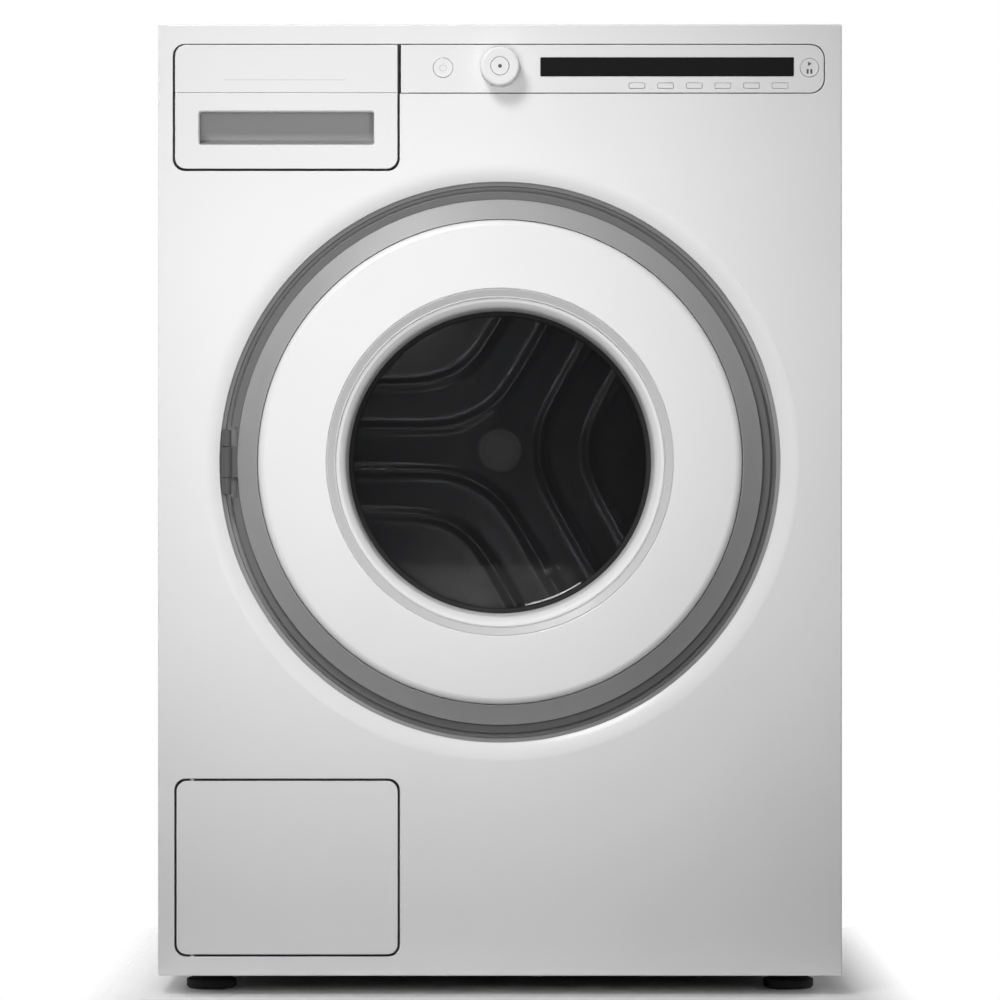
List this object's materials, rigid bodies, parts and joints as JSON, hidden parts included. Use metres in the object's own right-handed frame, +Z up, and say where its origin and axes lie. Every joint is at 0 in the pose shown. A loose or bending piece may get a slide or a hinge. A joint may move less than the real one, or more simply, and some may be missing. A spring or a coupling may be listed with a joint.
{
  "type": "washing machine",
  "caption": "Front load washing machine with a round glazed door, detergent drawer, programme knob, display band and a filter flap low on the left.",
  "frame": {"origin": "on the floor under the middle of the machine's own box, feet turned right in", "axes": "+Z up, -Y towards the front with the door, +X to the right seen from the front"},
  "size_m": [0.595, 0.603, 0.845],
  "materials": {
    "white_enamel": "semi gloss",
    "white_laminate": "satin laminate",
    "white_plastic": "satin",
    "white_gloss": "satin gloss",
    "silver_grey": "metallic grey",
    "dark_plastic": "matt",
    "grey_plastic": "matt",
    "lifter_plastic": "satin",
    "black_plastic": "matt",
    "display_glass": "black, glossy",
    "tinted_glass": "dark tint, glossy",
    "clear_glass": "clear",
    "black_rubber": "matt",
    "grey_rubber": "matt",
    "stainless": "brushed",
    "zinc_steel": "zinc plated",
    "dark_steel": "black paint",
    "bearing_steel": "ground",
    "motor_steel": "matt paint",
    "cast_aluminium": "as cast",
    "concrete": "cast concrete",
    "board_green": "solder mask"
  },
  "bodies": {
    "cabinet": {"front_panel": "white_enamel", "cabinet_shell": "white_enamel", "worktop": "white_laminate", "rear_cover": "zinc_steel", "base_frame": "grey_plastic", "rear_feet": "black_rubber", "cabinet_screws": "zinc_steel", "control_fascia": "white_plastic", "display_window": "display_glass", "control_board": "board_green", "dispenser_housing": "grey_plastic", "inlet_valve": "white_plastic", "drain_spigot": "grey_plastic", "cord_gland": "black_plastic", "hinge_bracket": "dark_steel", "door_recess_ring": "dark_plastic", "door_lock": "black_plastic", "door_seal": "grey_rubber", "damper_cylinders": "dark_steel", "suspension_springs": "bearing_steel", "filter_recess": "grey_plastic", "drain_pump": "grey_plastic"},
    "door": {"door_face_ring": "white_gloss", "door_skirt": "silver_grey", "door_window": "tinted_glass", "door_glass_bowl": "clear_glass", "door_back_cover": "grey_plastic", "hinge_arm": "dark_steel"},
    "latch": {"latch_hook": "zinc_steel"},
    "drawer": {"drawer_front": "white_plastic", "drawer_handle_cup": "grey_plastic", "drawer_tray": "white_plastic"},
    "knob": {"program_knob": "white_plastic"},
    "knob_centre": {"knob_button": "white_plastic"},
    "power_key": {"power_button": "white_plastic"},
    "start_key": {"start_button": "white_plastic"},
    "flap": {"filter_flap": "white_plastic"},
    "cap": {"filter_cap": "grey_plastic"},
    "tub": {"tub_front": "stainless", "tub_rear": "stainless", "tub_counterweight": "concrete", "heater": "stainless", "drum_bearings": "bearing_steel", "motor": "motor_steel", "drive_belt": "black_rubber", "damper_rods": "bearing_steel"},
    "drum": {"drum_shell": "stainless", "drum_back": "stainless", "drum_lifters": "lifter_plastic", "drum_spider": "cast_aluminium", "drum_pulley": "cast_aluminium"},
    "rotor": {"motor_pulley": "bearing_steel"},
    "left_foot": {"front_foot_left": "black_rubber"},
    "right_foot": {"front_foot_right": "black_rubber"},
    "key_1": {"option_key_1": "white_plastic"},
    "key_2": {"option_key_2": "white_plastic"},
    "key_3": {"option_key_3": "white_plastic"},
    "key_4": {"option_key_4": "white_plastic"},
    "key_5": {"option_key_5": "white_plastic"},
    "key_6": {"option_key_6": "white_plastic"}
  },
  "joints": [
    {"name": "door_hinge", "type": "hinge", "parent": "cabinet", "child": "door", "pos_m": [-0.238, -0.2805, 0.4639], "axis": [0, 0, -1], "range_deg": [0, 130]},
    {"name": "latch_pivot", "type": "hinge", "parent": "door", "child": "latch", "pos_m": [0.2185, -0.276, 0.4639], "axis": [0, 0, 1], "range_deg": [0, 8], "stiffness_Nm_per_rad": 0.6},
    {"name": "drawer_slide", "type": "slide", "parent": "cabinet", "child": "drawer", "axis": [0, -1, 0], "range_m": [0, 0.19]},
    {"name": "knob_turn", "type": "hinge", "parent": "cabinet", "child": "knob", "pos_m": [0, -0.2835, 0.807], "axis": [0, -1, 0], "continuous": true},
    {"name": "knob_press", "type": "slide", "parent": "knob", "child": "knob_centre", "axis": [0, 1, 0], "range_m": [0, 0.001], "stiffness_N_per_m": 600},
    {"name": "power_press", "type": "slide", "parent": "cabinet", "child": "power_key", "axis": [0, 1, 0], "range_m": [0, 0.0012], "stiffness_N_per_m": 600},
    {"name": "start_press", "type": "slide", "parent": "cabinet", "child": "start_key", "axis": [0, 1, 0], "range_m": [0, 0.0012], "stiffness_N_per_m": 600},
    {"name": "flap_hinge", "type": "hinge", "parent": "cabinet", "child": "flap", "pos_m": [-0.268, -0.2795, 0.1112], "axis": [0, 0, -1], "range_deg": [0, 110]},
    {"name": "cap_turn", "type": "hinge", "parent": "cabinet", "child": "cap", "pos_m": [-0.165, -0.262, 0.098], "axis": [0, -1, 0], "range_deg": [-90, 0]},
    {"name": "tub_travel", "type": "slide", "parent": "cabinet", "child": "tub", "axis": [0, 0, 1], "range_m": [-0.006, 0.006], "stiffness_N_per_m": 24000, "springref_m": 0.0207, "deforming": ["suspension_springs", "door_seal"]},
    {"name": "drum_spin", "type": "hinge", "parent": "tub", "child": "drum", "pos_m": [0, 0.18, 0.479], "axis": [0, -1, 0], "continuous": true},
    {"name": "rotor_spin", "type": "hinge", "parent": "tub", "child": "rotor", "pos_m": [0.07, 0.18, 0.15], "axis": [0, -1, 0], "continuous": true},
    {"name": "left_foot_screw", "type": "slide", "parent": "cabinet", "child": "left_foot", "axis": [0, 0, -1], "range_m": [0, 0.015]},
    {"name": "right_foot_screw", "type": "slide", "parent": "cabinet", "child": "right_foot", "axis": [0, 0, -1], "range_m": [0, 0.015]},
    {"name": "key_1_press", "type": "slide", "parent": "cabinet", "child": "key_1", "axis": [0, 1, 0], "range_m": [0, 0.0012], "stiffness_N_per_m": 500},
    {"name": "key_2_press", "type": "slide", "parent": "cabinet", "child": "key_2", "axis": [0, 1, 0], "range_m": [0, 0.0012], "stiffness_N_per_m": 500},
    {"name": "key_3_press", "type": "slide", "parent": "cabinet", "child": "key_3", "axis": [0, 1, 0], "range_m": [0, 0.0012], "stiffness_N_per_m": 500},
    {"name": "key_4_press", "type": "slide", "parent": "cabinet", "child": "key_4", "axis": [0, 1, 0], "range_m": [0, 0.0012], "stiffness_N_per_m": 500},
    {"name": "key_5_press", "type": "slide", "parent": "cabinet", "child": "key_5", "axis": [0, 1, 0], "range_m": [0, 0.0012], "stiffness_N_per_m": 500},
    {"name": "key_6_press", "type": "slide", "parent": "cabinet", "child": "key_6", "axis": [0, 1, 0], "range_m": [0, 0.0012], "stiffness_N_per_m": 500}
  ],
  "couplings": [
    {"joint": "rotor_spin", "follows": "drum_spin", "ratio": 13.636}
  ]
}
